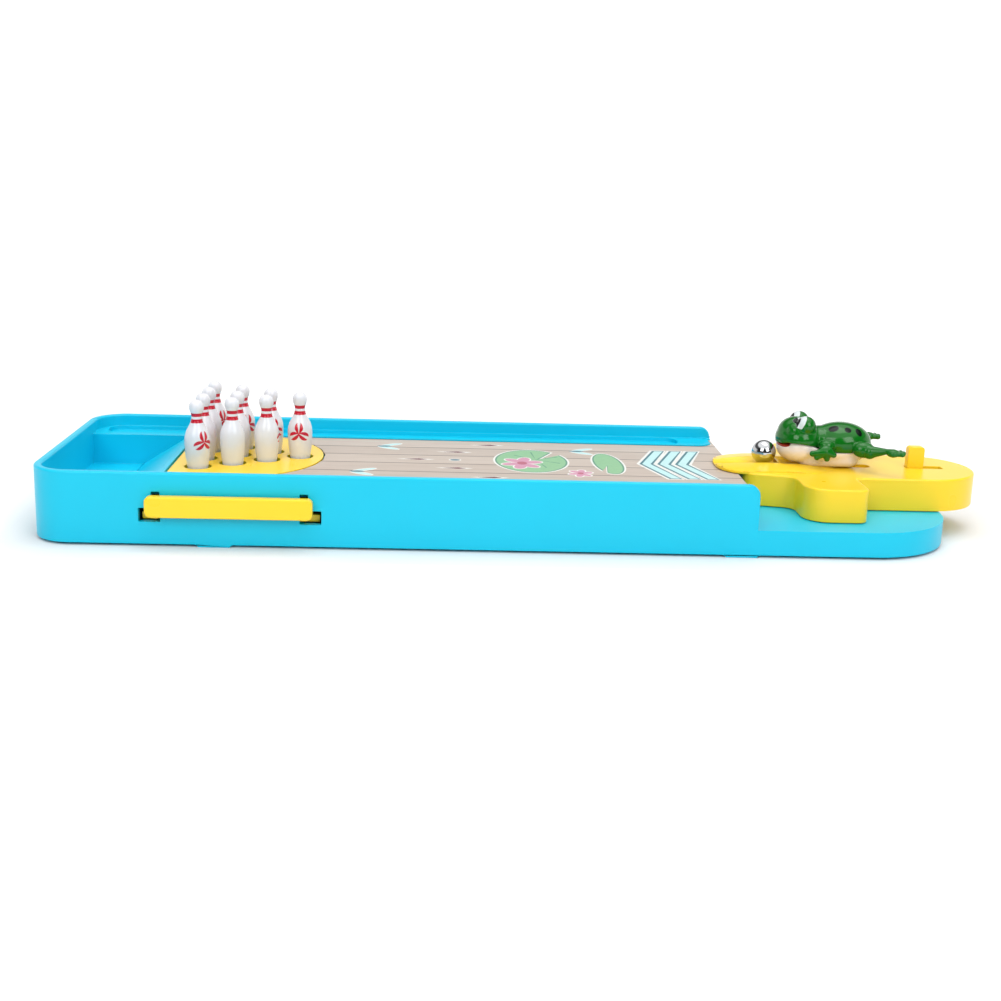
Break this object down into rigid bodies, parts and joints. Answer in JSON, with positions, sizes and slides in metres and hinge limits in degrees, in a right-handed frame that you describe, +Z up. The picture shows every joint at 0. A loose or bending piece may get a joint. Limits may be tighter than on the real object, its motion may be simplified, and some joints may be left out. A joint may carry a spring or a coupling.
{
  "type": "tabletop bowling game",
  "caption": "Tabletop bowling lane tray with a rising pin setter, loose pins, a ball and a swivelling sprung frog launcher.",
  "frame": {"origin": "middle of the footprint of the whole game, on the surface that it stands on", "axes": "+X along the lane from the pins towards the launcher, +Z up, +Y away from the side seen in the picture"},
  "size_m": [0.3744, 0.1212, 0.0497],
  "materials": {
    "cyan_plastic": "gloss",
    "yellow_plastic": "gloss",
    "white_plastic": "gloss",
    "printed_sheet": "satin print",
    "green_paint": "high gloss",
    "cream_plastic": "gloss",
    "polished_steel": "mirror polish",
    "zinc_plated_steel": "bright zinc",
    "spring_steel": "drawn wire"
  },
  "bodies": {
    "tray": {"base_tray": "cyan_plastic", "lane_sheet": "printed_sheet"},
    "pin_setter": {"pin_plate": "yellow_plastic", "lift_frame": "yellow_plastic", "front_handle": "yellow_plastic", "rear_handle": "yellow_plastic"},
    "pin_a": {"pin_01": "white_plastic"},
    "pin_b": {"pin_02": "white_plastic"},
    "pin_c": {"pin_03": "white_plastic"},
    "pin_d": {"pin_04": "white_plastic"},
    "pin_e": {"pin_05": "white_plastic"},
    "pin_f": {"pin_06": "white_plastic"},
    "pin_g": {"pin_07": "white_plastic"},
    "pin_h": {"pin_08": "white_plastic"},
    "pin_i": {"pin_09": "white_plastic"},
    "pin_j": {"pin_10": "white_plastic"},
    "launcher": {"launcher_housing": "yellow_plastic", "launcher_cover": "yellow_plastic", "cover_screw_1": "zinc_plated_steel", "cover_screw_2": "zinc_plated_steel", "cover_screw_3": "zinc_plated_steel", "cover_screw_4": "zinc_plated_steel", "pivot_screw": "zinc_plated_steel", "pivot_washer": "zinc_plated_steel", "striker_spring": "spring_steel"},
    "striker": {"striker_slider": "yellow_plastic", "frog_body": "green_paint", "frog_belly": "cream_plastic", "frog_screw": "zinc_plated_steel"},
    "ball": {"steel_ball": "polished_steel"}
  },
  "joints": [
    {"name": "setter_rise", "type": "slide", "parent": "tray", "child": "pin_setter", "axis": [0, 0, 1], "range_m": [0, 0.0055]},
    {"name": "pin_01_lift", "type": "slide", "parent": "tray", "child": "pin_a", "axis": [0, 0, 1], "range_m": [0, 0.035]},
    {"name": "pin_02_lift", "type": "slide", "parent": "tray", "child": "pin_b", "axis": [0, 0, 1], "range_m": [0, 0.035]},
    {"name": "pin_03_lift", "type": "slide", "parent": "tray", "child": "pin_c", "axis": [0, 0, 1], "range_m": [0, 0.035]},
    {"name": "pin_04_lift", "type": "slide", "parent": "tray", "child": "pin_d", "axis": [0, 0, 1], "range_m": [0, 0.035]},
    {"name": "pin_05_lift", "type": "slide", "parent": "tray", "child": "pin_e", "axis": [0, 0, 1], "range_m": [0, 0.035]},
    {"name": "pin_06_lift", "type": "slide", "parent": "tray", "child": "pin_f", "axis": [0, 0, 1], "range_m": [0, 0.035]},
    {"name": "pin_07_lift", "type": "slide", "parent": "tray", "child": "pin_g", "axis": [0, 0, 1], "range_m": [0, 0.035]},
    {"name": "pin_08_lift", "type": "slide", "parent": "tray", "child": "pin_h", "axis": [0, 0, 1], "range_m": [0, 0.035]},
    {"name": "pin_09_lift", "type": "slide", "parent": "tray", "child": "pin_i", "axis": [0, 0, 1], "range_m": [0, 0.035]},
    {"name": "pin_10_lift", "type": "slide", "parent": "tray", "child": "pin_j", "axis": [0, 0, 1], "range_m": [0, 0.035]},
    {"name": "launcher_turn", "type": "hinge", "parent": "tray", "child": "launcher", "pos_m": [0.12085, 0, 0.0111], "axis": [0, 0, 1], "range_deg": [-6, 6]},
    {"name": "striker_pull", "type": "slide", "parent": "launcher", "child": "striker", "axis": [1, 0, 0], "range_m": [0, 0.008], "stiffness_N_per_m": 150, "springref_m": -0.004, "deforming": ["striker_spring"]},
    {"name": "ball_roll", "type": "slide", "parent": "launcher", "child": "ball", "axis": [-1, 0, 0], "range_m": [0, 0.17]}
  ]
}
